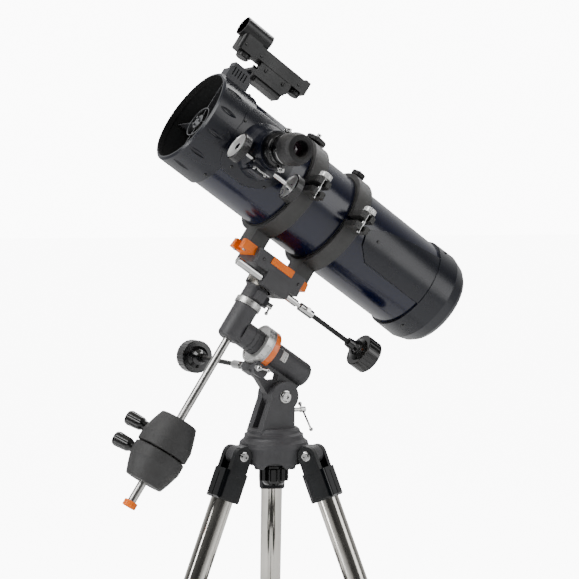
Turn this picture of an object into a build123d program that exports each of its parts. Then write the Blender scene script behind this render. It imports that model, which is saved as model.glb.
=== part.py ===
from build123d import *
import os
from math import cos, pi, radians, sin

os.makedirs("parts", exist_ok=True)

# A Newtonian reflector on a German equatorial mount and a field tripod.
# Ground frame: origin on the ground under the azimuth axis, +Z up. The polar axis lies in the XZ plane
# and points towards -X and up. Millimetres and degrees.

# Tripod
SEAM_Z = 610.0  # joint face between the tripod hub and the mount
LEG_AZIMUTHS = (64.26, 184.26, 304.26)
LEG_PIVOT_R = 61.7
LEG_PIVOT_DROP = 22.9
LEG_SPLAY = 21.86
LEG_TUBE_R = 15.875
LEG_TUBE_WALL = 1.2
EXTENSION_R = 12.7
COLLAR_START = 522.0
COLLAR_END = 578.0
BRACE_ALONG = 340.0  # from the leg pivot to the brace pivot, along the leg
BRACE_INSET = 24.0
BRACE_RISE = 30.0
BOSS_PIVOT_R = 30.0
TRAY_R = 92.0

# Mount
LATITUDE = 34.0
AXES_X = -63.0  # crossing of the polar and declination axes
AXES_RISE = 158.7
LAT_PIVOT_X = 7.0
LAT_PIVOT_RISE = 58.3
EAR_INNER = 8.0
EAR_OUTER = 22.8
EAR_R = 21.4
LUG_HALF = 7.85
LUG_R = 20.8
T_BOLT_Z = 35.5
SHAFT_R = 8.0
RUNNING = 0.08  # radial clearance of every turning or sliding fit
WHEEL_TEETH = 72
RA_WORM_A = -60.0
RA_WORM_B = -31.0
DEC_WORM_N = 25.0
DEC_WORM_B = 75.0
WORM_R = 5.0
CABLE_R = 3.7
KNOB_R = 25.5
RA_LOCK = (-53.0, -33.0)  # along and below the polar axis
DEC_LOCK_ANGLE = 150.0
DEC_LOCK_B = 52.0
CIRCLE_FRONT = -42.0  # polar setting circle and drive ring, along the polar axis
CIRCLE_REAR = -55.0
RING_REAR = -65.0
BARREL_END = -137.0
BARREL_R = 19.2
BAR_LOW = 96.7  # dovetail bar, from the polar axis
BAR_HIGH = 110.5
GIB_REAR = -22.9
GIB_FRONT = 16.4

# Counterweights
CW_SHAFT_R = 6.0
CW_UPPER = (-153.0, -203.0)  # narrow and wide ends of each weight
CW_LOWER = (-252.0, -205.0)
CW_SMALL_R = 27.5
CW_LARGE_R = 38.0
CW_KNOB_UPPER = -182.0
CW_KNOB_LOWER = -216.0
CW_KNOB_ANGLE = 47.0
TOE_B = -282.0

# Tube
TUBE_HEIGHT = 208.0  # from the polar axis to the tube axis
TUBE_R = 70.0
TUBE_WALL = 1.0
TUBE_FRONT = 214.0
TUBE_REAR = -246.0
RIM_A = 222.5
RING_MIDDLES = (42.5, -43.5)
RING_WIDTH = 25.0
RING_R = 79.0
RING_GAP = 4.0  # half the gap between the two halves of a ring
SCREW_N = 100.0  # ring clamp screw, from the tube axis
HINGE_N = -84.5
FOCUS_A = 130.0
PINION_N = 98.0
PINION_B = -24.5
FRONT_CELL_REAR = 164.0
FRONT_CELL_R = 73.4
REAR_CELL_FRONT = -205.0
REAR_CELL_R = 73.6
RECESSES = (-129, -101, -73, -45, -17, 11, 38, 120, 147, 174, 202)
CAP_ANGLE = 85.0
MIRROR_CURVE_R = 2000.0  # the mirror's radius of curvature, twice its focal length
DRAWTUBE_R = 19.0
BARREL_BORE_R = 15.875  # a standard 31.75 mm eyepiece barrel
FINDER_N = 10.0
FINDER_AXIS = 149.0

lat = radians(LATITUDE)
POLAR = Vector(-cos(lat), 0, sin(lat))
DEC = Vector(sin(lat), 0, cos(lat))
AXES = Vector(AXES_X, 0, SEAM_Z + AXES_RISE)

# Seam frame: ground axes, origin on the joint face.
seam = Pos(0, 0, SEAM_Z)
# Mount frame: X up the polar axis, Y to the operator's side, Z out along the declination axis.
mount = Plane(origin=AXES, x_dir=POLAR, z_dir=DEC).location
# Tube frame: Z forward along the tube, X to the operator's side, Y away from the mount.
tube = Plane(origin=AXES + DEC * TUBE_HEIGHT, x_dir=(0, -1, 0), z_dir=POLAR).location

UP = (Align.CENTER, Align.CENTER, Align.MIN)


# Shared shapes

def rod(start, end, radius):
    """A round bar between two points."""
    start = Vector(start)
    span = Vector(end) - start
    return Plane(origin=start, z_dir=span).location * Cylinder(radius, span.length, align=UP)


def ball(centre, radius):
    """A ball with a small flat at each end of its Z axis."""
    drum = Cylinder(radius, 2 * radius)
    return Pos(*centre) * fillet(drum.edges().filter_by(GeomType.CIRCLE), 0.95 * radius)


def block(x0, x1, y0, y1, z0, z1):
    """A box between two opposite corners."""
    centre = Pos((x0 + x1) / 2, (y0 + y1) / 2, (z0 + z1) / 2)
    return centre * Box(x1 - x0, y1 - y0, z1 - z0)


def turned(*profile):
    """A solid turned about Z from (radius, height) points."""
    points = [(r, 0, z) for r, z in profile]
    return revolve(make_face(Polyline(*points, close=True)), Axis.Z)


def aim(origin, direction):
    """A frame whose Z points along a direction."""
    return Plane(origin=Vector(origin), z_dir=Vector(direction)).location


def plate(points, thickness, holes=()):
    """A plate in the XZ plane, centred on Y = 0, from its outline."""
    outline = make_face(Polyline(*[(x, z) for x, z in points], close=True))
    solid = Rot(90, 0, 0) * extrude(outline, thickness / 2, both=True)
    for x, z, radius in holes:
        solid = solid - rod((x, -thickness, z), (x, thickness, z), radius)
    return solid


def ribbed_drum(radius, height, count, groove):
    """A drum with grooves along its side, standing on Z = 0."""
    cutter = Pos(radius + 0.4 * groove, 0, -1) * Cylinder(groove, height + 2, align=UP)
    cutters = [Rot(0, 0, 360 * i / count) * cutter for i in range(count)]
    return fillet(Cylinder(radius, height, align=UP).edges(), min(1.5, 0.3 * height)) - cutters


def toothed_wheel(radius, height, bore):
    """A worm wheel with straight teeth, standing on Z = 0."""
    depth = 1.4
    points = []
    for i in range(WHEEL_TEETH):
        for share, r in ((0.0, radius), (0.4, radius), (0.55, radius - depth), (0.85, radius - depth)):
            turn = 2 * pi * (i + share) / WHEEL_TEETH
            points.append((r * cos(turn), r * sin(turn)))
    return extrude(make_face(Polyline(*points, close=True)), height) - Cylinder(bore, 3 * height)


def worm(length):
    """A worm's threaded part, centred on Z = 0, with its thread as rings."""
    pitch = 2.2
    body = Cylinder(WORM_R - 1.2, length)
    rings = int(length / pitch)
    root = WORM_R - 1.3
    ring = turned((0, -0.9), (root, -0.9), (WORM_R, -0.35), (WORM_R, 0.35), (root, 0.9), (0, 0.9))
    for i in range(rings):
        body = body + Pos(0, 0, (i + 0.5) * pitch - rings * pitch / 2) * ring
    return body


def thumbscrew(reach, head_r, head_h):
    """A small screw standing on Z = 0, with a knurled head."""
    return Cylinder(1.6, reach, align=UP) + Pos(0, 0, reach) * ribbed_drum(head_r, head_h, 12, 0.5)


def save(node, *pieces):
    """Writes one node, a group of separate solids, to its STEP file."""
    solids = [solid for piece in pieces for solid in piece.solids()]
    export_step(Compound(children=solids), f"parts/{node}.step")


# Tripod

def around(azimuth):
    return seam * Rot(0, 0, azimuth)


def leg_frame(azimuth):
    """Origin at the leg's pivot, Z down the leg, X outwards."""
    splay = radians(LEG_SPLAY)
    tilted = Plane(origin=(LEG_PIVOT_R, 0, -LEG_PIVOT_DROP), x_dir=(cos(splay), 0, sin(splay)),
                   z_dir=(sin(splay), 0, -cos(splay)))
    return around(azimuth) * tilted.location


def tripod_hub():
    pivot_near = (LEG_PIVOT_R, -20.6, -LEG_PIVOT_DROP)
    pivot_far = (LEG_PIVOT_R, 20.6, -LEG_PIVOT_DROP)
    skirt = turned((0, 0), (42.5, 0), (44, -3), (49, -7), (51, -14), (51, -36), (49, -42), (44, -42),
                   (41, -14), (0, -14))
    skirt = skirt + turned((0, -10), (26, -10), (24, -40), (0, -40))
    for azimuth in LEG_AZIMUTHS:
        turn = Rot(0, 0, azimuth)
        lug = block(22, LEG_PIVOT_R, -10, 10, -36, -10)
        lug = lug + rod((LEG_PIVOT_R, -10, -LEG_PIVOT_DROP), (LEG_PIVOT_R, 10, -LEG_PIVOT_DROP), 13)
        skirt = skirt - turn * block(30, 80, -20.6, 20.6, -60, -36.5)
        skirt = skirt - turn * block(47.4, 80, -20.6, 20.6, -60, -LEG_PIVOT_DROP)
        skirt = skirt - turn * rod(pivot_near, pivot_far, 14.4)
        skirt = skirt + turn * lug
        skirt = skirt - turn * rod(pivot_near, pivot_far, 4.0)
        skirt = skirt - Rot(0, 0, azimuth + 60) * rod((30, 0, -50), (60, 0, -50), 18)
    return seam * (skirt - Cylinder(5.1, 200))


def leg_pivot_bolts():
    bolts = []
    for azimuth in LEG_AZIMUTHS:
        bolt = rod((LEG_PIVOT_R, -19.6, -LEG_PIVOT_DROP), (LEG_PIVOT_R, 19.6, -LEG_PIVOT_DROP), 4.0)
        for side in (-1, 1):
            head = aim((LEG_PIVOT_R, side * 19.5, -LEG_PIVOT_DROP), (0, side, 0)) * turned(
                (0, 0), (6.8, 0), (6.8, 1), (5.4, 1.4), (5.4, 4.2), (4.6, 5), (2.6, 5), (2.6, 2.8), (0, 2.8))
            bolt = bolt + head
        bolts.append(around(azimuth) * bolt)
    return bolts


def mounting_knob():
    lobes = Pos(0, 0, -63) * Cylinder(19, 17, align=UP)
    for i in range(6):
        lobes = lobes + Rot(0, 0, 60 * i) * Pos(16.5, 0, -63) * Cylinder(6.8, 17, align=UP)
    lobes = lobes + turned((0, -70), (13.5, -70), (16, -67), (17, -62), (0, -62))
    neck = Pos(0, 0, -46.2) * turned((0, 0), (17, 0), (17, 3.5), (12.5, 6), (0, 6))
    return seam * (lobes + neck + Pos(0, 0, -50) * Cylinder(5, 58, align=UP))


def leg_fittings(azimuth):
    """Head, brace bracket with its pin, lower collar and lock knob of one leg."""
    head = chamfer(block(-19, 19, -19, 19, 23, 66).edges().group_by(Axis.Z)[-1], 3)
    head = fillet(head.edges().filter_by(Axis.Z), 6)
    for side in (-1, 1):
        head = head + block(-13.5, 13.5, min(side * 10.6, side * 19.4), max(side * 10.6, side * 19.4), 0, 30)
        head = head + rod((0, side * 10.6, 0), (0, side * 19.4, 0), 13.5)
    head = head - rod((0, -30, 0), (0, 30, 0), 4.0 + RUNNING)
    head = head - Pos(0, 0, 30) * Cylinder(LEG_TUBE_R, 60, align=UP)
    head = head - block(12, 30, -1, 1, 28, 70)

    bracket = Pos(0, 0, BRACE_ALONG - 14) * Cylinder(LEG_TUBE_R + 3, 28, align=UP)
    for side in (-1, 1):
        low, high = sorted((side * 5.2, side * 8.5))
        bracket = bracket + block(-BRACE_INSET - 1, -8, low, high, BRACE_ALONG - 8, BRACE_ALONG + 8)
        bracket = bracket + rod((-BRACE_INSET, low, BRACE_ALONG), (-BRACE_INSET, high, BRACE_ALONG), 8)
    slot = block(-BRACE_INSET - 9, -LEG_TUBE_R - 0.8, -5.2, 5.2, BRACE_ALONG - 20, BRACE_ALONG + 20)
    bracket = bracket - slot
    bracket = bracket - Pos(0, 0, BRACE_ALONG) * Cylinder(LEG_TUBE_R, 60)
    bracket = bracket + rod((-BRACE_INSET, -10, BRACE_ALONG), (-BRACE_INSET, 10, BRACE_ALONG), 2.5)

    collar = turned((0, COLLAR_START), (LEG_TUBE_R + 2.5, COLLAR_START), (LEG_TUBE_R + 4.5, COLLAR_START + 6),
                    (LEG_TUBE_R + 4.5, COLLAR_END - 6), (LEG_TUBE_R + 1, COLLAR_END), (0, COLLAR_END))
    collar = collar + block(10, 30, -8, 8, COLLAR_END - 26, COLLAR_END - 8)
    collar = collar - Pos(0, 0, COLLAR_START - 1) * Cylinder(LEG_TUBE_R, 31, align=UP)
    collar = collar - Pos(0, 0, COLLAR_START) * Cylinder(EXTENSION_R + RUNNING, 80, align=UP)
    knob_z = COLLAR_END - 17
    collar = collar - rod((EXTENSION_R, 0, knob_z), (40, 0, knob_z), 3.0)

    knob = rod((EXTENSION_R + 0.6, 0, knob_z), (34, 0, knob_z), 2.9)
    knob = knob + aim((31, 0, knob_z), (1, 0, 0)) * ribbed_drum(11, 15, 10, 2.0)
    place = leg_frame(azimuth)
    return [place * piece for piece in (head, bracket, collar, knob)]


def leg_tube(azimuth):
    shell = Cylinder(LEG_TUBE_R, COLLAR_START, align=UP) - Cylinder(LEG_TUBE_R - LEG_TUBE_WALL, 2000)
    return leg_frame(azimuth) * Pos(0, 0, 30) * shell


def leg_extension(azimuth):
    """Inner tube with its top bush, and the rubber foot cut level with the ground."""
    length = (SEAM_Z - LEG_PIVOT_DROP) / cos(radians(LEG_SPLAY))
    inner = Cylinder(EXTENSION_R, length - 104, align=UP) - Cylinder(EXTENSION_R - 1.2, 2000)
    inner = Pos(0, 0, 90) * inner
    bush = Pos(0, 0, 90) * Cylinder(LEG_TUBE_R - LEG_TUBE_WALL - RUNNING, 30, align=UP)
    bush = bush - Pos(0, 0, 90) * Cylinder(EXTENSION_R, 80)
    foot = turned((0, length - 42), (EXTENSION_R + 2, length - 42), (EXTENSION_R + 3, length - 20),
                  (EXTENSION_R + 5, length + 10), (0, length + 10))
    foot = foot - Pos(0, 0, length - 60) * Cylinder(EXTENSION_R, 46, align=UP)
    place = leg_frame(azimuth)
    ground = block(-600, 600, -600, 600, -200, 0)
    return [place * inner, place * bush, (place * foot) - ground]


splay = radians(LEG_SPLAY)
BRACE_R = LEG_PIVOT_R - BRACE_INSET * cos(splay) + BRACE_ALONG * sin(splay)
BRACE_Z = -LEG_PIVOT_DROP - BRACE_INSET * sin(splay) - BRACE_ALONG * cos(splay)
BRACE_LENGTH = (BRACE_R - BOSS_PIVOT_R) / cos(radians(BRACE_RISE))
BOSS_Z = BRACE_Z + BRACE_LENGTH * sin(radians(BRACE_RISE))


def brace_arm(azimuth):
    """A brace arm. Its inner end is a fork that straddles a lug of the centre boss."""
    place = around(azimuth) * Pos(BRACE_R, 0, BRACE_Z) * Rot(0, BRACE_RISE, 0)
    arm = block(-BRACE_LENGTH, 0, -4.6, 4.6, -6, 6)
    arm = arm + rod((0, -4.6, 0), (0, 4.6, 0), 6) + rod((-BRACE_LENGTH, -4.6, 0), (-BRACE_LENGTH, 4.6, 0), 6)
    arm = arm - rod((0, -9, 0), (0, 9, 0), 2.5 + RUNNING)
    arm = arm - rod((-BRACE_LENGTH, -9, 0), (-BRACE_LENGTH, 9, 0), 2.6)
    arm = arm - block(-BRACE_LENGTH - 9, -BRACE_LENGTH + 26, -2.4, 2.4, -9, 9)
    for side in (-1, 1):
        low, high = sorted((side * 3.0, side * 9.0))
        arm = arm - block(-BRACE_LENGTH + 40, -20, low, high, -3.4, 3.4)
    return place * arm


def accessory_tray():
    """The centre boss with its three lugs, and the eyepiece tray screwed on top of it."""
    boss = Pos(0, 0, BOSS_Z - 9) * Cylinder(9, 33, align=UP)
    tray = Pos(0, 0, BOSS_Z + 24) * Cylinder(TRAY_R, 7, align=UP)
    tray = tray - Pos(0, 0, BOSS_Z + 27) * (Cylinder(TRAY_R - 3, 10, align=UP) - Cylinder(12, 30))
    for azimuth in LEG_AZIMUTHS:
        turn = Rot(0, 0, azimuth)
        lug = block(6, BOSS_PIVOT_R, -1.8, 1.8, BOSS_Z - 5, BOSS_Z + 5)
        lug = lug + rod((BOSS_PIVOT_R, -1.8, BOSS_Z), (BOSS_PIVOT_R, 1.8, BOSS_Z), 5)
        lug = lug - rod((BOSS_PIVOT_R, -5, BOSS_Z), (BOSS_PIVOT_R, 5, BOSS_Z), 2.6)
        boss = boss + turn * lug
        tray = tray - turn * block(36, 200, -24, 24, BOSS_Z, BOSS_Z + 60)
        hole = Rot(0, 0, azimuth + 60) * Pos(62, 0, BOSS_Z + 10)
        tray = tray + hole * Pos(0, 0, 14) * Cylinder(19, 7, align=UP) - hole * Cylinder(16.1, 60, align=UP)
    return [seam * boss, seam * tray]


# Mount, fixed and azimuth parts, in the seam frame

def azimuth_base():
    flange = turned((0, 0), (42.5, 0), (42.5, 3.5), (38.5, 6), (37.5, 10), (34, 13), (0, 13))
    base = flange
    ear = [(-33, 6), (22, 6), (22, 50), (LAT_PIVOT_X, LAT_PIVOT_RISE), (-13, 60)]
    for side in (-1, 1):
        wall = Pos(0, side * (EAR_INNER + EAR_OUTER) / 2, 0) * plate(ear, EAR_OUTER - EAR_INNER)
        inner = (LAT_PIVOT_X, side * EAR_INNER, LAT_PIVOT_RISE)
        outer = (LAT_PIVOT_X, side * EAR_OUTER, LAT_PIVOT_RISE)
        wall = wall - rod(inner, (LAT_PIVOT_X, side * 30, LAT_PIVOT_RISE), EAR_R)
        base = base + wall + rod(inner, outer, EAR_R)
    slope = Plane(origin=(-36, 0, 12), x_dir=(0, 1, 0), z_dir=(-0.93, 0, 0.37)).location
    base = base + block(9, 22, -9, 9, 6, 41.5)
    left = (LAT_PIVOT_X, -EAR_INNER, LAT_PIVOT_RISE)
    right = (LAT_PIVOT_X, EAR_INNER, LAT_PIVOT_RISE)
    base = base - rod(left, right, LUG_R + 0.5)
    base = base - slope * block(-40, 40, -100, 100, 0, 40)
    base = base + flange
    base = base - rod((LAT_PIVOT_X, -40, LAT_PIVOT_RISE), (LAT_PIVOT_X, 40, LAT_PIVOT_RISE), 5.0)
    base = base - rod((0, 0, T_BOLT_Z), (40, 0, T_BOLT_Z), 3.25 + RUNNING)
    return seam * (base - Pos(0, 0, -1) * Cylinder(5.1, 11, align=UP))


def latitude_pivot_bolt():
    bolt = rod((LAT_PIVOT_X, -EAR_OUTER, LAT_PIVOT_RISE), (LAT_PIVOT_X, EAR_OUTER, LAT_PIVOT_RISE), 5.0)
    for side in (-1, 1):
        head = aim((LAT_PIVOT_X, side * EAR_OUTER, LAT_PIVOT_RISE), (0, side, 0)) * turned(
            (0, 0), (9, 0), (9, 1.2), (7, 1.8), (7, 4.2), (6, 5), (3, 5), (3, 2.5), (0, 2.5))
        bolt = bolt + head
    return seam * bolt


def latitude_t_bolt():
    screw = rod((16.5, 0, T_BOLT_Z), (49, 0, T_BOLT_Z), 3.25) + rod((43, 0, T_BOLT_Z), (51, 0, T_BOLT_Z), 4.3)
    low = (47, -26, T_BOLT_Z - 26)
    high = (47, 7.5, T_BOLT_Z + 7.5)
    screw = screw + rod(low, high, 1.5) + ball(low, 3) + ball(high, 3)
    return seam * screw


# Polar assembly, in the mount frame

pivot = Vector(LAT_PIVOT_X - AXES_X, 0, LAT_PIVOT_RISE - AXES_RISE)
PIVOT_A = pivot.dot(POLAR)
PIVOT_B = pivot.dot(DEC)


def polar_housing():
    """Polar bearing barrel, worm casing and the web with the lug that pivots in the base."""
    barrel = rod((RING_REAR, 0, 0), (BARREL_END, 0, 0), BARREL_R)
    barrel = fillet(barrel.edges().group_by(Axis.X)[0], 8)
    outline = [(-50, -27), (-50, -41), (-70, -43), (PIVOT_A + 6, PIVOT_B - 15)]
    outline = outline + [(PIVOT_A - 13, PIVOT_B - 10), (-133, -12), (-66, -12), (-66, -27)]
    web = plate(outline, 2 * LUG_HALF)
    web = web - plate([(-75, -21), (-94, -21), (-97, -29), (-82, -37), (-75, -35)], 40)
    lug = rod((PIVOT_A, -LUG_HALF, PIVOT_B), (PIVOT_A, LUG_HALF, PIVOT_B), LUG_R)
    casing = block(-72, -49, -20, 20, -41.5, -24)
    casing = chamfer(casing.edges().filter_by(Axis.Y).group_by(Axis.Z)[0], 5)
    body = barrel + web + lug + casing
    body = body - rod((PIVOT_A, -20, PIVOT_B), (PIVOT_A, 20, PIVOT_B), 5.0 + RUNNING)
    body = body - rod((-40, 0, 0), (-65, 0, 0), 30.9)
    body = body - rod((RA_WORM_A, -12, RA_WORM_B), (RA_WORM_A, 12, RA_WORM_B), WORM_R + 0.5)
    body = body - rod((RA_WORM_A, -40, RA_WORM_B), (RA_WORM_A, 16, RA_WORM_B), 3.0 + RUNNING)
    body = body - rod((RA_LOCK[0], 12, RA_LOCK[1]), (RA_LOCK[0], 30, RA_LOCK[1]), 2.5 + RUNNING)
    return mount * (body - rod((-60, 0, 0), (-128, 0, 0), SHAFT_R + RUNNING))


def ra_drive_ring():
    """The cover ring of the polar worm wheel, fixed to the housing, open over the worm."""
    ring = rod((-55.4, 0, 0), (-65, 0, 0), 30) - rod((-50, 0, 0), (-63.5, 0, 0), 26.4)
    ring = fillet(ring.edges().filter_by(GeomType.CIRCLE).group_by(Axis.X)[0], 2)
    ring = ring - rod((-50, 0, 0), (-80, 0, 0), SHAFT_R + RUNNING)
    return mount * (ring - block(-80, -49, -20.2, 20.2, -60, -23.8))


def ra_setting_circle():
    ring = rod((CIRCLE_FRONT, 0, 0), (CIRCLE_REAR, 0, 0), 30)
    ring = ring - rod((-41, 0, 0), (-44, 0, 0), 27.5) + rod((-43.2, 0, 0), (-46, 0, 0), 28)
    return mount * (ring - rod((-30, 0, 0), (-70, 0, 0), 18.0 + RUNNING))


def slow_motion_shaft(half_length, sleeve_start, sleeve_end):
    """A worm on its shaft along Z, with the bright sleeve that takes the cable."""
    shaft = worm(2 * half_length) + rod((0, 0, -half_length - 4), (0, 0, sleeve_start + 1), 3.0)
    sleeve = rod((0, 0, sleeve_start), (0, 0, sleeve_end - 6), 5.3)
    neck = rod((0, 0, sleeve_end - 7), (0, 0, sleeve_end), 3.2)
    return shaft + chamfer(sleeve.edges().group_by(Axis.Z)[-1], 1) + neck


def slow_motion_cable(start, length):
    """Coupling with its thumbscrew, flexible cable and ribbed knob, from a height along Z."""
    coupling = Pos(0, 0, start) * (Cylinder(6.2, 24, align=UP) - Cylinder(3.5, 4, align=UP))
    coupling = coupling + aim((0, 0, start + 9), (0, -1, 0)) * thumbscrew(12, 4, 3)
    cable = Pos(0, 0, start + 24) * Cylinder(CABLE_R, length, align=UP)
    inner = start + 24 + length
    neck = Pos(0, 0, inner) * turned((0, 0), (7, 0), (8, 10), (12, 14), (12, 18), (17, 20), (17, 24), (0, 24))
    drum = Pos(0, 0, inner + 22) * ribbed_drum(KNOB_R, 24, 24, 1.3)
    return coupling + cable + neck + drum


ra_worm_line = mount * aim((RA_WORM_A, 0, RA_WORM_B), (0, -1, 0))


def ra_worm_shaft():
    return ra_worm_line * slow_motion_shaft(9.5, 20.3, 42)


def ra_slow_motion_cable():
    return ra_worm_line * slow_motion_cable(42, 105)


def ra_lock_lever():
    a, b = RA_LOCK
    tip = (a - 15, 26, b + 5)
    lever = rod((a, 13, b), (a, 21, b), 2.5) + rod((a, 20.3, b), (a, 28, b), 4.2)
    lever = lever + ball((a, 27, b), 4.8) + rod((a, 26, b), tip, 1.7)
    return mount * (lever + ball(tip, 3))


dec_lock_aim = Vector(cos(radians(DEC_LOCK_ANGLE)), sin(radians(DEC_LOCK_ANGLE)), 0)
dec_lock_line = aim(dec_lock_aim * 15 + Vector(0, 0, DEC_LOCK_B), dec_lock_aim)


def declination_housing():
    """The tee-shaped casting that turns on the polar axis, and the clamp collar above its circle."""
    barrel = fillet(rod((0, 0, -20), (0, 0, 34), 17.7).edges().group_by(Axis.Z)[0], 7)
    arm = rod((-10, 0, 0), (-41.5, 0, 0), 18.6) + rod((-10, 0, 0), (-55, 0, 0), 18.0)
    for a in (-26, -33):
        arm = arm - (rod((a, 0, 0), (a - 1.2, 0, 0), 20) - rod((a + 1, 0, 0), (a - 3, 0, 0), 17.9))
    body = barrel + arm
    body = body - rod((0, 0, -16), (0, 0, 60), SHAFT_R + RUNNING) - rod((0, 0, -40), (0, 0, 0), 6.0)
    body = body - rod((-12, 0, 0), (-70, 0, 0), SHAFT_R)

    collar = rod((0, 0, 44), (0, 0, 66.2), 16.8)
    for turn in (DEC_LOCK_ANGLE, 95):
        collar = collar + Rot(0, 0, turn) * block(10, 24, -7, 7, 46, 60)
    collar = collar - rod((0, 0, 40), (0, 0, 70), SHAFT_R + RUNNING)
    collar = collar - dec_lock_line * rod((0, 0, -6), (0, 0, 12), 2.5 + RUNNING)
    return [mount * body, mount * collar]


def dec_lock_lever():
    lever = rod((0, 0, -4), (0, 0, 12), 2.5) + rod((0, 0, 9.2), (0, 0, 17), 4.2)
    lever = lever + rod((0, 0, 14), (0, -11, 14), 1.7) + ball((0, -12, 14), 2.8)
    return mount * dec_lock_line * lever


def polar_shaft():
    return mount * rod((-12, 0, 0), (-124, 0, 0), SHAFT_R)


def worm_wheels():
    """The two worm wheels: one on the polar shaft, one around the declination shaft."""
    polar = aim((-63.0, 0, 0), (1, 0, 0)) * toothed_wheel(25.4, 6, SHAFT_R)
    declination = Pos(0, 0, DEC_WORM_B - 3) * toothed_wheel(19.4, 6, SHAFT_R + RUNNING)
    hub = rod((0, 0, 66.2), (0, 0, DEC_WORM_B - 3), 12) - rod((0, 0, 60), (0, 0, 80), SHAFT_R + RUNNING)
    return [mount * polar, mount * (declination + hub)]


def dec_setting_circle():
    ring = chamfer(rod((0, 0, 34.3), (0, 0, 43.7), 19.6).edges().group_by(Axis.Z)[-1], 0.8)
    return mount * (ring - rod((0, 0, 30), (0, 0, 50), SHAFT_R + RUNNING))


# Counterweights, in the mount frame

cw_knob_aim = (cos(radians(CW_KNOB_ANGLE)), -sin(radians(CW_KNOB_ANGLE)), 0)


def counterweight_shaft():
    bar = rod((0, 0, 0), (0, 0, TOE_B - 8), CW_SHAFT_R)
    return mount * chamfer(bar.edges().group_by(Axis.Z)[0], 0.8)


def counterweight(ends, knob_b):
    """A barrel half: wide at one end, rounded in to the narrow end."""
    narrow_b, wide_b = ends
    span = narrow_b - wide_b
    body = turned((0, 0), (CW_LARGE_R, 0), (CW_LARGE_R, 0.34 * abs(span)), (CW_SMALL_R + 5, 0.72 * abs(span)),
                  (CW_SMALL_R, abs(span)), (0, abs(span)))
    body = fillet(body.edges().filter_by(GeomType.CIRCLE), 2.5)
    body = aim((0, 0, wide_b), (0, 0, span)) * body
    body = body - rod((0, 0, 0), (0, 0, -400), CW_SHAFT_R + RUNNING)
    return mount * (body - aim((0, 0, knob_b), cw_knob_aim) * Cylinder(3.5 + RUNNING, 80, align=UP))


def counterweight_knob(knob_b):
    knob = turned((0, 38.4), (7, 38.4), (7.5, 42), (9.8, 47), (11, 66), (9.5, 70), (0, 70))
    flutes = [Rot(0, 0, 60 * i) * Pos(12.6, 0, 46) * Cylinder(3.4, 40, align=UP) for i in range(6)]
    knob = knob - flutes + Pos(0, 0, CW_SHAFT_R + 0.3) * Cylinder(3.5, 35, align=UP)
    return mount * aim((0, 0, knob_b), cw_knob_aim) * knob


def toe_nut():
    nut = ribbed_drum(10, 9.5, 16, 0.8)
    return mount * aim((0, 0, TOE_B), (0, 0, -1)) * (nut - Cylinder(CW_SHAFT_R + RUNNING, 8.3, align=UP))


# Saddle and dovetail, in the mount frame

def declination_shaft():
    return mount * rod((0, 0, 2), (0, 0, 84), SHAFT_R)


def bar_section(a0, a1):
    """The dovetail's tapered section between two stations."""
    low, high = 21.5, 18.0
    outline = [(low, BAR_LOW), (high, BAR_HIGH), (-high, BAR_HIGH), (-low, BAR_LOW)]
    face = make_face(Polyline(*[(a0, n, b) for n, b in outline], close=True))
    return extrude(face, a1 - a0, dir=(1, 0, 0))


def saddle():
    tray = block(-46, 40, -31, 31, 86, BAR_HIGH - 0.3)
    tray = chamfer(tray.edges().filter_by(Axis.Z), 3)
    casing = block(-33, 13, -22, 32, 66.8, 90)
    casing = chamfer(casing.edges().filter_by(Axis.Y).group_by(Axis.Z)[0], 4)
    body = tray + casing + block(-46, -20, -31, 31, 82, 90)
    body = body - bar_section(-70, 70)
    body = body - block(GIB_REAR - 0.1, GIB_FRONT + 0.1, 10, 40, 99, 112)
    body = body - rod((0, 0, 60), (0, 0, 82), 20.4) - rod((0, 0, 80), (0, 0, 84), SHAFT_R)
    body = body - rod((-12, DEC_WORM_N, DEC_WORM_B), (12, DEC_WORM_N, DEC_WORM_B), WORM_R + 0.5)
    body = body - rod((-60, DEC_WORM_N, DEC_WORM_B), (60, DEC_WORM_N, DEC_WORM_B), 3.0 + RUNNING)
    return mount * (body - rod((-3, -50, 103), (-3, -15, 103), 3.0 + RUNNING))


dec_worm_line = mount * aim((0, DEC_WORM_N, DEC_WORM_B), (-1, 0, 0))


def dec_worm_shaft():
    shaft = slow_motion_shaft(9.5, 33.3, 60)
    left = rod((0, 0, -60), (0, 0, -16), 5.75) + rod((0, 0, -16.5), (0, 0, 0), 3.0)
    return dec_worm_line * (shaft + fillet(left.edges().group_by(Axis.Z)[0], 1.5))


def dec_slow_motion_cable():
    return dec_worm_line * slow_motion_cable(60, 72)


def dovetail_bar():
    """The tapered bar, and the gib that clamps it in the saddle."""
    bar = bar_section(-58, 62) - block(50, 70, -9, 9, 90, 120)
    gib = block(GIB_REAR, GIB_FRONT, 21.1, 32.4, 99, 110.2)
    return [mount * bar, mount * chamfer(gib.edges().filter_by(Axis.X).group_by(Axis.Y)[-1], 0.8)]


def dovetail_knob():
    """The saddle's clamp screw, on the side away from the operator."""
    knob = Cylinder(3.0, 36, align=UP) + Pos(0, 0, 18) * ribbed_drum(13, 18, 8, 2.6)
    return mount * aim((-3, -21.6, 103), (0, -1, 0)) * knob


# Tube rings, in the tube frame: X to the operator, Y away from the mount, Z forward

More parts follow.
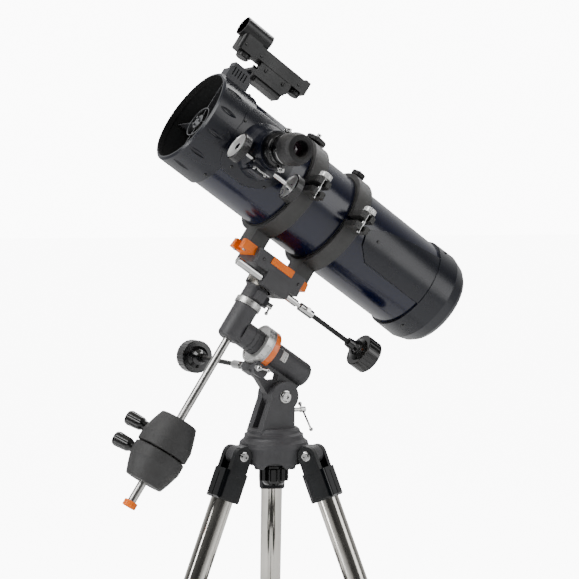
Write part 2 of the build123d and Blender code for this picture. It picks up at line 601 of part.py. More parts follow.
def ring_band(middle, side):
    """Half of a ring with its clamp lug, on one side of the split."""
    band = Cylinder(RING_R, RING_WIDTH) - Cylinder(TUBE_R + RUNNING, 60)
    cut_low, cut_high = sorted((-side * 200, side * RING_GAP))
    band = band - block(-200, 200, cut_low, cut_high, -50, 50)
    low, high = sorted((side * RING_GAP, side * (RING_GAP + 9)))
    lug = block(TUBE_R + 4, 108, low, high, -RING_WIDTH / 2, RING_WIDTH / 2)
    lug = chamfer(lug.edges().filter_by(Axis.Y).group_by(Axis.X)[-1], 4)
    lug = lug - block(SCREW_N - 4, 120, -20, 20, -3.4, 3.4)
    return Pos(0, 0, middle) * (band + lug)


def knuckle(middle, z0, z1, side):
    """A hinge knuckle with the web that joins it to its half of the ring."""
    barrel = rod((HINGE_N, 0, z0), (HINGE_N, 0, z1), 6)
    low, high = sorted((side * 2.0, side * 14.0))
    web = block(HINGE_N - 5.2, -TUBE_R - 4, low, high, z0, z1)
    return Pos(0, 0, middle) * (barrel + web - rod((HINGE_N, 0, -40), (HINGE_N, 0, 40), 2.5))


def tube_ring_lowers():
    """Both lower ring halves on their dovetail feet, and the two hinge pins."""
    pieces = []
    for middle in RING_MIDDLES:
        half = ring_band(middle, -1)
        half = half + knuckle(middle, -12.5, -4.3, -1) + knuckle(middle, 4.3, 12.5, -1)
        foot_top = TUBE_HEIGHT - TUBE_R - 2
        foot = block(-18, 18, BAR_HIGH - TUBE_HEIGHT, -TUBE_R - 2, middle - 12.5, middle + 12.5)
        half = half + foot - Pos(0, 0, middle) * Cylinder(TUBE_R + RUNNING, 60)
        pieces.append(tube * half)
        pin = rod((HINGE_N, 0, middle - 14), (HINGE_N, 0, middle + 14), 2.5 - RUNNING)
        pieces.append(tube * pin)
    return pieces


def ring_cap(middle, angle, radius):
    """The round cap on top of an upper ring half."""
    outward = (cos(radians(angle)), sin(radians(angle)), 0)
    return Pos(0, 0, middle) * aim((0, 0, 0), outward) * Pos(0, 0, TUBE_R + 4) * (
        Cylinder(8, 8, align=UP) + Pos(0, 0, 7) * ribbed_drum(radius, 7, 20, 0.8))


def tube_ring_upper(middle, stud):
    half = ring_band(middle, 1) + knuckle(middle, -4.0, 4.0, 1)
    half = half - Pos(0, 0, middle) * Cylinder(TUBE_R + RUNNING, 60)
    cap = ring_cap(middle, CAP_ANGLE, 15.5 if stud else 10.5) - Pos(0, 0, middle) * Cylinder(RING_R, 60)
    if stud:
        outward = Vector(cos(radians(CAP_ANGLE)), sin(radians(CAP_ANGLE)), 0)
        start = Vector(0, 0, middle) + outward * (RING_R + 2)
        cap = cap + rod(start, start + outward * 14.5, 3.175)
    return [tube * half, tube * cap]


def ring_screw(middle):
    screw = rod((SCREW_N, -17, 0), (SCREW_N, 15, 0), 2.7) + rod((SCREW_N, 13.05, 0), (SCREW_N, 15, 0), 5)
    head = aim((SCREW_N, 14.5, 0), (0, 1, 0)) * ribbed_drum(9.5, 8, 24, 0.6)
    return tube * Pos(0, 0, middle) * (screw + head)


# Optical tube, in the tube frame

def optical_tube():
    shell = Pos(0, 0, TUBE_REAR) * Cylinder(TUBE_R, TUBE_FRONT - TUBE_REAR, align=UP)
    shell = shell - Pos(0, 0, TUBE_REAR) * Cylinder(TUBE_R - TUBE_WALL, 600, align=UP)
    return tube * (shell - rod((40, 0, FOCUS_A), (90, 0, FOCUS_A), 24))


def spindle(length, radius):
    """A lens-shaped cutter along Z."""
    rho = (length ** 2 / 4 + radius ** 2) / (2 * radius)
    arc = ThreePointArc((0, 0, -length / 2), (radius, 0, 0), (0, 0, length / 2))
    return revolve(make_face([arc, Line((0, 0, length / 2), (0, 0, -length / 2))]), Axis.Z)


def front_cell():
    shell = turned((0, FRONT_CELL_REAR), (FRONT_CELL_R, FRONT_CELL_REAR), (FRONT_CELL_R, RIM_A - 2.5),
                   (FRONT_CELL_R - 2.5, RIM_A), (0, RIM_A))
    rail = block(FINDER_N - 11, FINDER_N + 11, 60, 94, 178, 216)
    rail = chamfer(rail.edges().filter_by(Axis.X).group_by(Axis.Y)[-1], 9)
    shell = shell + rail + block(FINDER_N - 8, FINDER_N + 8, 90, 97.5, 184, 212)
    for z in range(188, 210, 5):
        shell = shell - block(FINDER_N + 8.8, FINDER_N + 20, 78, 90, z, z + 2)
    cutter = spindle(33, 3.8)
    for angle in RECESSES:
        shell = shell - Rot(0, 0, angle) * Pos(FRONT_CELL_R + 1.2, 0, 203) * cutter
    seat = Pos(0, 0, FRONT_CELL_REAR - 1) * Cylinder(TUBE_R, TUBE_FRONT - FRONT_CELL_REAR + 1, align=UP)
    shell = shell - seat
    return tube * (shell - Cylinder(TUBE_R - TUBE_WALL - 0.5, 600))


def rear_cell():
    front = ((0, REAR_CELL_FRONT), (REAR_CELL_R, REAR_CELL_FRONT), (REAR_CELL_R + 0.8, -240))
    shell = turned(*front, (69, -258), (64, -265), (60, -267), (0, -267))
    lip = ((-96, -34), (-76, -18), (-70, 0), (-74, 8), (-100, 22), (-150, 35), (-210, 46))
    outline = make_face(Polyline(*lip, (-210, -34), (-150, -34), close=True))
    outline = fillet(outline.vertices().sort_by(Axis.X)[-3:], 5)
    tongue_cut = Plane(origin=(0, 0, 0), x_dir=(0, 0, 1), z_dir=(-1, 0, 0)).location
    tongue = tongue_cut * extrude(outline, -100)
    band = Pos(0, 0, -212) * Cylinder(REAR_CELL_R - 1.2, 150, align=UP)
    shell = shell + (tongue & band)
    shell = shell - Pos(0, 0, TUBE_REAR) * Cylinder(TUBE_R, 300, align=UP)
    shell = shell - Pos(0, 0, -263) * Cylinder(TUBE_R - 6, 60, align=UP)
    for i in range(6):
        shell = shell - Rot(0, 0, 60 * i + 30) * Pos(44, 0, -280) * Cylinder(3.3, 40, align=UP)
    return tube * shell


def primary_mirror():
    glass = Pos(0, 0, -236) * Cylinder(57, 12, align=UP)
    curve = Pos(0, 0, -236 + 10.4 + MIRROR_CURVE_R) * Rot(0, 90, 0) * Sphere(MIRROR_CURVE_R)
    return tube * (glass - curve)


def mirror_cell():
    """The mirror's carrier with its three clips, and the collimation and lock screws."""
    carrier = Pos(0, 0, -246) * Cylinder(62, 10, align=UP)
    clips = []
    for i in range(3):
        clip = block(52, 61, -6, 6, -236, -222) - Pos(0, 0, -236) * Cylinder(57, 12.5, align=UP)
        clips.append(Rot(0, 0, 120 * i) * (clip - block(40, 61, -6, 6, -223.4, -222)))
    screws = []
    for i in range(6):
        screw = Cylinder(2.9, 21, align=UP)
        if i % 2 == 0:
            screw = screw + Pos(0, 0, -6) * ribbed_drum(7, 6, 14, 0.7)
        else:
            screw = screw + Pos(0, 0, -3) * Cylinder(5, 3, align=UP)
        screws.append(Rot(0, 0, 60 * i + 30) * Pos(44, 0, -267.1) * screw)
    return [tube * (carrier + clips)] + [tube * screw for screw in screws]


def spider():
    """Four thin vanes, the hub they carry and the secondary's holder with its screws."""
    hub = Pos(0, 0, 180) * Cylinder(11, 28, align=UP)
    ring = Pos(0, 0, 206) * (Cylinder(23.5, 2, align=UP) - Cylinder(22, 10))
    for i in range(4):
        ring = ring + Rot(0, 0, 90 * i) * block(9, 68.9, -0.5, 0.5, 190, 206.5)
    holder = Pos(0, 0, 158) * Cylinder(13, 17.5, align=UP)
    screws = [Rot(0, 0, 120 * i) * Pos(6.5, 0, 208) * Cylinder(1.8, 3, align=UP) for i in range(3)]
    stem = Pos(0, 0, 170) * Cylinder(3, 34, align=UP)
    body = ring + hub + stem + holder + screws
    slant = Plane(origin=(0, 0, FOCUS_A + 2), z_dir=(-1, 0, 1)).location
    carrier = slant * Pos(0, 0, 5.2) * Cylinder(14, 30, align=UP)
    carrier = carrier & Pos(0, 0, FOCUS_A) * Cylinder(13, 40, align=UP)
    return tube * (body + carrier)


def secondary_mirror():
    slant = Plane(origin=(0, 0, FOCUS_A), z_dir=(-1, 0, 1)).location
    flat = (Pos(0, 0, FOCUS_A) * Cylinder(17, 90)) & (slant * Cylinder(60, 6, align=UP))
    return tube * flat


# Focuser and eyepiece, in the tube frame

def focuser_body():
    """Saddle plate, conical body and pinion casing in one moulding."""
    outline = Pos(0, 0, FOCUS_A) * rod((40, 0, 0), (90, 0, 0), 50)
    front = block(40, 90, -50, 50, FOCUS_A - 5, 178)
    front = fillet(front.edges().filter_by(Axis.X).group_by(Axis.Z)[-1], 22)
    sheet = (outline + front) & (Cylinder(TUBE_R + 4.4, 800) - Cylinder(TUBE_R, 800))
    cone = turned((0, 55), (40, 55), (38.5, 76), (34.5, 88), (30, 99), (27.5, 110), (27, 116), (0, 116))
    cone = aim((0, 0, FOCUS_A), (1, 0, 0)) * cone
    casing = block(80, PINION_N + 8, PINION_B - 9, PINION_B + 9, FOCUS_A - 17, FOCUS_A + 17)
    casing = casing + rod((PINION_N, PINION_B, FOCUS_A - 17), (PINION_N, PINION_B, FOCUS_A + 17), 9)
    foot = block(70, PINION_N, PINION_B - 14, PINION_B, FOCUS_A - 13, FOCUS_A + 13)
    body = sheet + cone + casing + foot
    body = body - Cylinder(TUBE_R, 800)
    body = body - Pos(0, 0, FRONT_CELL_REAR - 0.05) * Cylinder(FRONT_CELL_R + 0.05, 60, align=UP)
    body = body - rod((40, 0, FOCUS_A), (130, 0, FOCUS_A), DRAWTUBE_R + RUNNING)
    return tube * (body - rod((PINION_N, PINION_B, 60), (PINION_N, PINION_B, 190), 5.2))


def drawtube():
    """The sliding tube with its rack side, its collar and two thumbscrews."""
    sleeve = rod((66, 0, FOCUS_A), (120, 0, FOCUS_A), DRAWTUBE_R)
    collar = turned((0, 0), (24, 0), (24, 9), (21.5, 10.5), (21.5, 20), (0, 20))
    collar = aim((116.4, 0, FOCUS_A), (1, 0, 0)) * collar
    body = sleeve + collar - rod((40, 0, FOCUS_A), (150, 0, FOCUS_A), BARREL_BORE_R + RUNNING)
    for y, z in ((-22, -10), (22, 8)):
        direction = Vector(0, y, z).normalized()
        seat = Vector(132, 0, FOCUS_A)
        body = body - rod(seat, seat + direction * 30, 1.6 + RUNNING)
    screws = []
    for y, z in ((-22, -10), (22, 8)):
        direction = Vector(0, y, z).normalized()
        origin = Vector(132, 0, FOCUS_A) + direction * 16.2
        screws.append(tube * aim(origin, direction) * thumbscrew(8, 5, 6))
    return [tube * body] + screws


def focus_knobs():
    """The pinion shaft with a knob on each end."""
    shaft = rod((PINION_N, PINION_B, FOCUS_A - 56), (PINION_N, PINION_B, FOCUS_A + 42), 3.0)
    shaft = shaft + rod((PINION_N, PINION_B, FOCUS_A - 16), (PINION_N, PINION_B, FOCUS_A + 16), 5.1)
    pieces = []
    for start in (FOCUS_A + 36, FOCUS_A - 60):
        place = aim((PINION_N, PINION_B, start), (0, 0, 1))
        dish = turned((0, 9), (6, 9), (17.5, 11.2), (17.5, 13), (0, 13))
        pieces.append(place * (ribbed_drum(20.5, 12, 40, 0.7) - dish + Cylinder(5, 10, align=UP)))
    return tube * (shaft + pieces)


def eyepiece():
    """Barrel, body and rubber eyecup, with the eye lens set in."""
    barrel = turned((0, 104), (BARREL_BORE_R, 104), (BARREL_BORE_R, 136.45), (0, 136.45))
    rim = ((20.5, 147), (21.5, 148), (21.5, 150.5), (20.5, 151.5), (0, 151.5))
    body = turned((0, 136.45), (20, 136.45), *rim)
    lips = ((21, 174), (18.5, 180), (14, 182), (11, 180), (9.5, 168), (0, 168))
    cup = turned((0, 151), (22, 151), (22.5, 166), *lips)
    bore = turned((0, 100), (13, 100), (13, 140), (8.5, 150), (8.5, 162), (0, 162))
    lens = turned((0, 163.5), (9.4, 163.5), (9.4, 165.5), (1.5, 166.8), (0, 166.8))
    shell = barrel + body + cup - bore - turned((0, 160), (9.5, 160), (9.5, 200), (0, 200))
    place = tube * aim((0, 0, FOCUS_A), (1, 0, 0))
    return [place * shell, place * lens]


# Finder, in the tube frame

def finder_bracket():
    """The clamp block on the rail and the channel that holds the finder."""
    clamp = block(FINDER_N - 14, FINDER_N + 14, 97.6, 105, 128, 190)
    clamp = chamfer(clamp.edges().filter_by(Axis.X).group_by(Axis.Y)[0], 2.5)
    clamp = clamp + block(FINDER_N - 11, FINDER_N + 11, 91, 98, 130, 176)
    channel = block(FINDER_N - 13.5, FINDER_N + 13.5, 104.8, 118.4, 125, 181)
    channel = channel - block(FINDER_N - 11.5, FINDER_N + 11.5, 107.5, 140, 100, 200)
    body = clamp + channel
    for z in (137, 169):
        screw = Cylinder(3, 1.6, align=UP) - Pos(0, 0, 0.8) * Box(0.8, 4.5, 2)
        body = body + aim((FINDER_N + 13.5, 113, z), (1, 0, 0)) * screw
    return tube * body


def finder_body():
    """The bar with its lens tube and switch, and its two adjusting wheels."""
    low, high = 120.4, 139.0
    bar = block(FINDER_N - 12, FINDER_N + 12, low, high, 100, 205)
    bar = bar + block(FINDER_N - 11.2, FINDER_N + 11.2, 109.2, low, 130, 176)
    nose = block(FINDER_N - 12, FINDER_N + 12, low - 4, high + 3, 192, 224)
    nose = fillet(nose.edges().filter_by(Axis.Y).group_by(Axis.Z)[-1], 6)
    bar = bar + nose + block(FINDER_N - 12, FINDER_N + 12, low, high + 2.5, 100, 110)
    bar = fillet(bar.edges().group_by(Axis.Z)[0], 1.0)
    barrel = rod((FINDER_N, FINDER_AXIS, 183), (FINDER_N, FINDER_AXIS, 229), 14.5)
    bar = bar + barrel - rod((FINDER_N, FINDER_AXIS, 170), (FINDER_N, FINDER_AXIS, 240), 13)
    window = rod((FINDER_N, FINDER_AXIS, 205), (FINDER_N, FINDER_AXIS, 207), 13)
    switch = block(FINDER_N - 5, FINDER_N + 5, high + 0.02, high + 3, 118, 127)
    front = aim((FINDER_N, low - 4.1, 206), (0, -1, 0)) * ribbed_drum(10, 7, 20, 0.7)
    rear = aim((FINDER_N, low - 0.1, 112), (0, -1, 0)) * ribbed_drum(9, 7, 20, 0.7)
    return [tube * piece for piece in (bar, window, switch, front, rear)]


save("tripod_hub", tripod_hub())
save("leg_pivot_bolts", *leg_pivot_bolts())
save("mounting_knob", mounting_knob())
for number, azimuth in enumerate(LEG_AZIMUTHS, start=1):
    save(f"leg_fittings_{number}", *leg_fittings(azimuth))
    save(f"leg_tube_{number}", leg_tube(azimuth))
    save(f"leg_extension_{number}", *leg_extension(azimuth))
    save(f"brace_arm_{number}", brace_arm(azimuth))
save("accessory_tray", *accessory_tray())
save("azimuth_base", azimuth_base())
save("latitude_pivot_bolt", latitude_pivot_bolt())
save("latitude_t_bolt", latitude_t_bolt())
save("polar_housing", polar_housing())
save("ra_drive_ring", ra_drive_ring())
save("ra_setting_circle", ra_setting_circle())
save("ra_worm_shaft", ra_worm_shaft())
save("ra_slow_motion_cable", ra_slow_motion_cable())
save("ra_lock_lever", ra_lock_lever())
save("declination_housing", *declination_housing())
save("dec_lock_lever", dec_lock_lever())
save("polar_shaft", polar_shaft())
save("worm_wheels", *worm_wheels())
save("dec_setting_circle", dec_setting_circle())
save("counterweight_shaft", counterweight_shaft())
save("counterweight_upper", counterweight(CW_UPPER, CW_KNOB_UPPER))
save("counterweight_lower", counterweight(CW_LOWER, CW_KNOB_LOWER))
save("counterweight_knob_upper", counterweight_knob(CW_KNOB_UPPER))
save("counterweight_knob_lower", counterweight_knob(CW_KNOB_LOWER))
save("toe_nut", toe_nut())
save("declination_shaft", declination_shaft())
save("saddle", saddle())
save("dec_worm_shaft", dec_worm_shaft())
save("dec_slow_motion_cable", dec_slow_motion_cable())
save("dovetail_bar", *dovetail_bar())
save("dovetail_knob", dovetail_knob())
save("tube_ring_lowers", *tube_ring_lowers())
for name, middle, stud in (("front", RING_MIDDLES[0], True), ("rear", RING_MIDDLES[1], False)):
    save(f"tube_ring_upper_{name}", *tube_ring_upper(middle, stud))
    save(f"ring_screw_{name}", ring_screw(middle))
save("optical_tube", optical_tube())
save("front_cell", front_cell())
save("rear_cell", rear_cell())
save("primary_mirror", primary_mirror())
save("mirror_cell", *mirror_cell())
save("spider", spider())
save("secondary_mirror", secondary_mirror())
save("focuser_body", focuser_body())
save("drawtube", *drawtube())
save("focus_knobs", focus_knobs())
save("eyepiece", *eyepiece())
save("finder_bracket", finder_bracket())
save("finder_body", *finder_body())
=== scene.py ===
from math import cos, radians, sin, sqrt

import bmesh
import bpy
from mathutils import Matrix, Vector


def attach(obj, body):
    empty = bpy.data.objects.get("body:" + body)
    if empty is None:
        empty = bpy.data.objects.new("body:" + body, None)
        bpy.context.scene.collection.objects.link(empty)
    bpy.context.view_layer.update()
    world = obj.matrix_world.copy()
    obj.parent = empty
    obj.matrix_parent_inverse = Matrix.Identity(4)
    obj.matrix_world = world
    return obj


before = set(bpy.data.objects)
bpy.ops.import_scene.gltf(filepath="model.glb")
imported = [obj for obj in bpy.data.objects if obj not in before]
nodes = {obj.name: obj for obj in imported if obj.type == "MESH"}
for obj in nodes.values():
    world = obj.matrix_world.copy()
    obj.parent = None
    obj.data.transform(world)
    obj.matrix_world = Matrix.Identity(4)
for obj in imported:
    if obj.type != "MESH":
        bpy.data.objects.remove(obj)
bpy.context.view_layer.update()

MM = 0.001

# The mount and the tube, in metres.
LATITUDE = radians(34.0)
POLAR = Vector((-cos(LATITUDE), 0, sin(LATITUDE)))
DEC = Vector((sin(LATITUDE), 0, cos(LATITUDE)))
NEAR = Vector((0, -1, 0))  # towards the operator's side
AXES = Vector((-0.063, 0, 0.7687))  # where the polar and declination axes cross
TUBE_HEIGHT = 0.208  # from there to the tube's axis

# The tripod, in metres.
LEG_PIVOT = Vector((0.0617, 0, 0.5871))
LEG_AZIMUTHS = (64.26, 184.26, 304.26)
LEG_SPLAY = radians(21.86)

# Places that the paint and the details share, in millimetres in the leg's or the tube's frame.
BRACE_ALONG = 340  # the brace arm's pin, down the leg from its pivot
BRACE_INSET = 24  # and inwards from the leg's axis
SLEEVE_R = 12.75  # just outside the extension's own tube
TUBE_INSIDE_R = 69.4  # the tube and its front cell are black inside this
RINGS = (("front", 42.5), ("rear", -43.5))  # the middle of each tube ring, along the tube
CAP_ANGLE = radians(85)
CAP = (cos(CAP_ANGLE), sin(CAP_ANGLE), 0)  # from the tube's axis to a ring's cap
FOCUS_A = 130  # the focuser's axis, along the tube
PINION = (98, -24.5)  # the axis of the focus knobs, which lies along the tube
FINDER = (10, 149)  # the axis of the finder's lens, which does too


def placed(origin, x, z):
    """A frame from its origin and its X and Z directions."""
    matrix = Matrix((x, z.cross(x), z)).transposed().to_4x4()
    matrix.translation = origin
    return matrix


def at(x, y, z):
    return Matrix.Translation((x, y, z))


def aimed(origin, direction):
    """A frame whose Z points along a direction."""
    return at(*origin) @ Vector(direction).to_track_quat("Z", "Y").to_matrix().to_4x4()


def leg_frame(azimuth):
    """Origin at the leg's pivot, Z down the leg, X outwards."""
    turn = Matrix.Rotation(radians(azimuth), 4, "Z")
    outward = Vector((cos(LEG_SPLAY), 0, sin(LEG_SPLAY)))
    down = Vector((sin(LEG_SPLAY), 0, -cos(LEG_SPLAY)))
    return turn @ placed(LEG_PIVOT, outward, down)


GROUND = Matrix.Identity(4)
MOUNT = placed(AXES, POLAR, DEC)
TUBE = placed(AXES + DEC * TUBE_HEIGHT, NEAR, POLAR)
BARREL_LINE = placed(AXES, NEAR, POLAR)  # Z up the polar axis
CIRCLE_LINE = placed(AXES, NEAR, -POLAR)  # Z down the polar axis
RA_WORM = MOUNT @ aimed((-60 * MM, 0, -31 * MM), (0, -1, 0))
DEC_WORM = MOUNT @ aimed((0, 25 * MM, 75 * MM), (-1, 0, 0))


# Materials

class Graph:
    """A small wrapper for building a material's nodes. An input is named, or is i and its number."""

    def __init__(self, name):
        self.material = bpy.data.materials.new(name)
        self.material.use_nodes = True
        self.tree = self.material.node_tree
        self.shader = self.tree.nodes["Principled BSDF"]
        self.coords = self.tree.nodes.new("ShaderNodeTexCoord").outputs["Object"]

    def node(self, kind, **inputs):
        node = self.tree.nodes.new(kind)
        for key, value in inputs.items():
            self.feed(node, key, value)
        return node

    def feed(self, node, key, value):
        socket = node.inputs[int(key[1:])] if key[0] == "i" and key[1:].isdigit() else node.inputs[key]
        if isinstance(value, bpy.types.NodeSocket):
            self.tree.links.new(value, socket)
        else:
            socket.default_value = value

    def noise(self, scale, detail):
        node = self.node("ShaderNodeTexNoise", Vector=self.coords, Scale=scale, Detail=detail)
        return node.outputs["Fac"]

    def ramp(self, value, low, high, to_low=0.0, to_high=1.0):
        node = self.node("ShaderNodeMapRange", i0=value, i1=low, i2=high, i3=to_low, i4=to_high)
        return node.outputs["Result"]

    def math(self, operation, a, b):
        node = self.node("ShaderNodeMath", i0=a, i1=b)
        node.operation = operation
        node.use_clamp = operation != "ADD"
        return node.outputs["Value"]

    def mix(self, factor, a, b):
        node = self.tree.nodes.new("ShaderNodeMix")
        node.data_type = "RGBA"
        self.feed(node, "i0", factor)
        self.feed(node, "i6", a)
        self.feed(node, "i7", b)
        return node.outputs[2]


def linear(r, g, b):
    """An sRGB colour as a linear one."""
    return tuple((c / 255) ** 2.2 for c in (r, g, b)) + (1.0,)


DUST = linear(150, 146, 138)
EDGE = 0.0005  # how far wear and rounding reach from an edge, in metres
CHIP_SCALE = 260  # of the noise that breaks up a worn edge
DUST_SCALE = 90  # of the noise that breaks up the dust
GRAIN_HEIGHT = 0.0004  # of the surface's grain, in metres
COAT_ROUGHNESS = 0.08


def finish(name, color, rough, metal=0.0, vary=0.18, patch=55, grain=1500, bump=0.12, worn=None, wear=0.5,
           dust=0.12, coat=0.0, smudge=0.1, flake=0.0, spec=0.5):
    """A painted, plated or moulded surface with mottling, grain, worn edges, smudges and settled dust."""
    g = Graph(name)

    # Mottling, with a grain of lighter specks.
    dark = tuple(c * (1 - vary) for c in color[:3]) + (1.0,)
    light = tuple(min(1.0, c * (1 + vary)) for c in color[:3]) + (1.0,)
    tone = g.mix(g.ramp(g.noise(patch, 4.0), 0.35, 0.65), dark, light)
    fine = g.noise(grain, 2.0)
    speck = g.ramp(fine, 0.3, 0.7, -0.5, 0.5)
    tone = g.mix(g.math("MULTIPLY", g.ramp(fine, 0.55, 0.75), 0.25 + flake), tone, light)
    rough_value = g.ramp(g.noise(patch * 0.4, 3.0), 0.35, 0.65, rough - smudge, rough + smudge)

    # Wear, where the rounded normal leaves the true one.
    bevel = g.node("ShaderNodeBevel", Radius=EDGE)
    bevel.samples = 4
    geometry = g.node("ShaderNodeNewGeometry")
    if worn:
        dot = g.node("ShaderNodeVectorMath", i0=bevel.outputs["Normal"], i1=geometry.outputs["Normal"])
        dot.operation = "DOT_PRODUCT"
        edges = g.ramp(dot.outputs["Value"], 0.99, 0.8)
        chips = g.math("MULTIPLY", edges, g.ramp(g.noise(CHIP_SCALE, 4.0), 0.5, 0.66))
        chips = g.math("MULTIPLY", chips, wear)
        tone = g.mix(chips, tone, worn)
        rough_value = g.math("SUBTRACT", rough_value, g.math("MULTIPLY", chips, 0.1))

    # Dust, on what faces up.
    split = g.node("ShaderNodeSeparateXYZ", Vector=geometry.outputs["Normal"])
    upward = g.ramp(split.outputs["Z"], 0.25, 1.0)
    settled = g.math("MULTIPLY", upward, g.ramp(g.noise(DUST_SCALE, 5.0), 0.3, 0.75))
    settled = g.math("MULTIPLY", settled, dust)
    tone = g.mix(settled, tone, DUST)
    rough_value = g.math("ADD", rough_value, g.math("MULTIPLY", settled, 0.5))

    bumped = g.node("ShaderNodeBump", Strength=bump, Distance=GRAIN_HEIGHT, Height=speck,
                    Normal=bevel.outputs["Normal"])
    g.feed(g.shader, "Base Color", tone)
    g.feed(g.shader, "Roughness", rough_value)
    g.feed(g.shader, "Metallic", metal)
    g.feed(g.shader, "Specular IOR Level", spec)
    g.feed(g.shader, "Normal", bumped.outputs["Normal"])
    if coat:
        g.feed(g.shader, "Coat Weight", coat)
        g.feed(g.shader, "Coat Roughness", COAT_ROUGHNESS)
    return g.material


BARE = linear(170, 170, 168)  # the metal under a worn coat of paint

casting = finish("casting_grey", linear(64, 64, 66), 0.46, vary=0.1, grain=1900, bump=0.3,
                 worn=BARE, wear=0.3, dust=0.06, smudge=0.06)
weight_paint = finish("weight_grey", linear(52, 52, 52), 0.55, vary=0.08, grain=1600, bump=0.4,
                      worn=BARE, wear=0.25, dust=0.06)
head_black = finish("head_black", linear(11, 14, 17), 0.16, vary=0.2, grain=900, bump=0.06,
                    worn=linear(110, 112, 115), wear=0.3, dust=0.04, smudge=0.04, spec=0.4)
tube_navy = finish("tube_navy", linear(5, 15, 40), 0.2, vary=0.1, patch=14, grain=4200, bump=0.03,
                   worn=BARE, wear=0.2, dust=0.02, coat=0.2, smudge=0.03, flake=0.35)
cell_grey = finish("cell_grey", linear(17, 20, 30), 0.27, vary=0.06, grain=1500, bump=0.03,
                   worn=linear(105, 108, 112), wear=0.2, dust=0.02, smudge=0.02)
ring_black = finish("ring_black", linear(52, 52, 51), 0.42, vary=0.12, grain=2200, bump=0.35,
                    worn=BARE, wear=0.35, dust=0.06)
orange = finish("orange_paint", linear(252, 116, 4), 0.36, vary=0.08, grain=1400, bump=0.1,
                worn=linear(240, 205, 170), wear=0.35, dust=0.03, smudge=0.06, spec=0.25)
ring_orange = finish("ring_orange", linear(236, 108, 10), 0.26, vary=0.1, grain=1400, bump=0.06,
                     worn=linear(225, 190, 150), wear=0.3, coat=0.5)
bright = finish("bright_nickel", linear(198, 198, 197), 0.09, metal=1.0, vary=0.08, grain=2000, bump=0.04,
                worn=linear(150, 146, 140), wear=0.25, dust=0.03, smudge=0.04)
steel = finish("ground_steel", linear(190, 189, 186), 0.24, metal=1.0, vary=0.1, grain=2600, bump=0.08,
               dust=0.06, smudge=0.08)
stainless = finish("polished_stainless", linear(200, 197, 190), 0.13, metal=1.0, vary=0.07, patch=30,
                   grain=2600, bump=0.03, dust=0.05, smudge=0.05)
machined = finish("machined_alloy", linear(175, 172, 165), 0.34, metal=1.0, vary=0.12, grain=1800, bump=0.15)
circle = finish("circle_silver", linear(212, 212, 210), 0.3, metal=0.85, vary=0.06, grain=2200, bump=0.06,
                worn=linear(120, 118, 114), wear=0.3, dust=0.08)
knurled = finish("knurled_silver", linear(200, 200, 198), 0.26, metal=0.9, vary=0.1, grain=1200, bump=0.1,
                 worn=linear(130, 128, 124), wear=0.3)
gloss_black = finish("gloss_black", linear(9, 10, 11), 0.18, vary=0.2, grain=1000, bump=0.05,
                     worn=linear(80, 80, 80), wear=0.3, coat=0.3, smudge=0.07)
black_plastic = finish("black_plastic", linear(16, 17, 18), 0.34, vary=0.16, grain=1300, bump=0.18,
                       worn=linear(85, 85, 85), wear=0.3)
rubber = finish("black_rubber", linear(15, 15, 16), 0.5, vary=0.15, grain=900, bump=0.35, dust=0.22,
                smudge=0.08)
felt = finish("black_felt", linear(12, 12, 12), 0.9, vary=0.3, grain=2600, bump=0.8, dust=0.18, smudge=0.04)
inside_black = finish("inside_black", linear(13, 13, 14), 0.75, vary=0.2, grain=1500, bump=0.2, dust=0.03,
                      smudge=0.05)
vane_metal = finish("vane_metal", linear(112, 113, 116), 0.3, metal=0.7, vary=0.12, grain=1500, bump=0.1)
dish_metal = finish("dish_metal", linear(236, 236, 234), 0.34, metal=0.75, vary=0.1, grain=1800, bump=0.08)
# Black print, also used as the painted shade of the screws' cross recesses.
print_and_shade_black = finish("print_and_shade_black", linear(25, 25, 26), 0.5, vary=0.1, dust=0.03)
printed_white = finish("printed_white", linear(226, 226, 222), 0.45, vary=0.04, grain=1200, bump=0.05,
                       dust=0.1)
mirror = finish("aluminised_mirror", linear(232, 233, 235), 0.05, metal=1.0, vary=0.02, bump=0.0, dust=0.06,
                smudge=0.02)
glass_edge = finish("mirror_glass_edge", linear(96, 112, 106), 0.25, vary=0.1, bump=0.05, coat=0.6)
lens = finish("coated_lens", linear(52, 30, 42), 0.06, vary=0.15, bump=0.0, dust=0.03, coat=1.0, smudge=0.02)
lens.node_tree.nodes["Principled BSDF"].inputs["Coat Roughness"].default_value = 0.02


# Painting the CAD nodes

def coat_node(name, base, matrix=GROUND, rules=()):
    """Gives a node its material, and a face the first rule's whose test its centre passes, in millimetres."""
    mesh = nodes[name].data
    mesh.materials.clear()
    for material in [base] + [rule[0] for rule in rules]:
        mesh.materials.append(material)
    inverse = matrix.inverted()
    for face in mesh.polygons:
        face.material_index = 0
        centre = inverse @ face.center / MM
        for i, (_, test) in enumerate(rules, start=1):
            if test(centre):
                face.material_index = i
                break


def radius(p, x=0.0, y=0.0):
    """Distance from an axis along Z."""
    return sqrt((p.x - x) ** 2 + (p.y - y) ** 2)


ONE_MATERIAL = (
    (casting, ("azimuth_base", "tripod_hub", "polar_housing", "declination_housing", "saddle")),
    (bright, ("leg_pivot_bolts", "latitude_pivot_bolt", "latitude_t_bolt", "ra_lock_lever",
              "dec_lock_lever", "ra_worm_shaft", "dec_worm_shaft")),
    (steel, ("polar_shaft", "declination_shaft", "counterweight_shaft")),
    (black_plastic, ("accessory_tray", "finder_bracket", "dovetail_knob", "brace_arm_1", "brace_arm_2",
                     "brace_arm_3")),
    (machined, ("worm_wheels",)),
    (circle, ("ra_setting_circle", "dec_setting_circle")),
    (ring_orange, ("ra_drive_ring",)),
    (orange, ("dovetail_bar", "toe_nut")),
    (weight_paint, ("counterweight_upper", "counterweight_lower")),
    (cell_grey, ("rear_cell", "focuser_body")),
)
for material, names in ONE_MATERIAL:
    for name in names:
        coat_node(name, material)

# The knob under the hub, with its central screw.
coat_node("mounting_knob", gloss_black, GROUND, [(steel, lambda p: radius(p) < 5.2)])


# Legs

